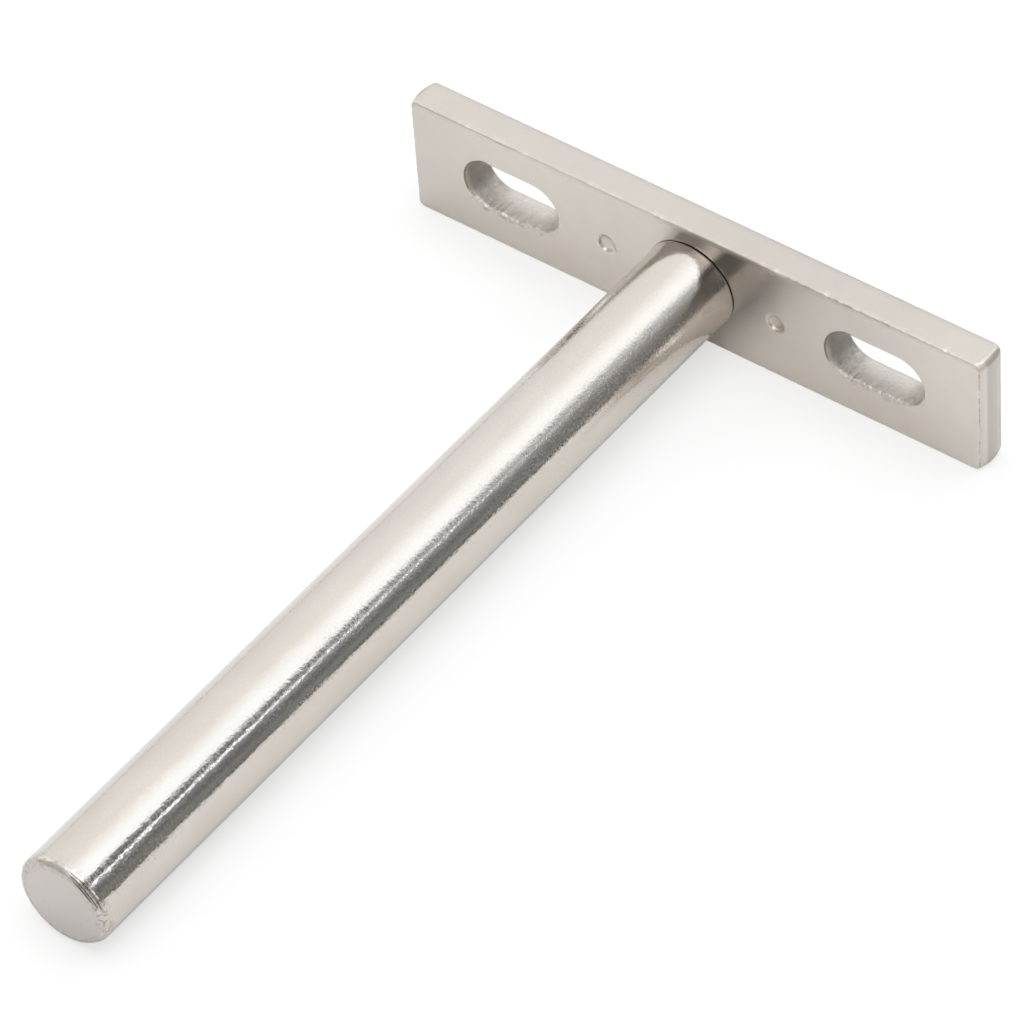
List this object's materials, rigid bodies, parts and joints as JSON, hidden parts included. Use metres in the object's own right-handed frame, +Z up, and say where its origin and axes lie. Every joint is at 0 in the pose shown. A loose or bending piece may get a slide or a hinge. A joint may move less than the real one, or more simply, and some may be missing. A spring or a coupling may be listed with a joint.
{
  "type": "floating shelf bracket",
  "caption": "Concealed shelf bracket: a flat slotted wall plate with a round rod standing out of its middle, which slides into a hole in the shelf's back edge.",
  "frame": {"origin": "middle of the plate's back face, in the plane of the wall, at the centre of the two screw slots", "axes": "+X along the plate, +Y into the wall, +Z up; the rod stands out along -Y"},
  "size_m": [0.082, 0.12, 0.0166],
  "materials": {
    "satin_nickel": "satin nickel plate",
    "bright_nickel": "bright nickel plate, scratched and pitted"
  },
  "bodies": {
    "root": {"back_plate": "satin_nickel", "support_rod": "bright_nickel"}
  },
  "joints": []
}
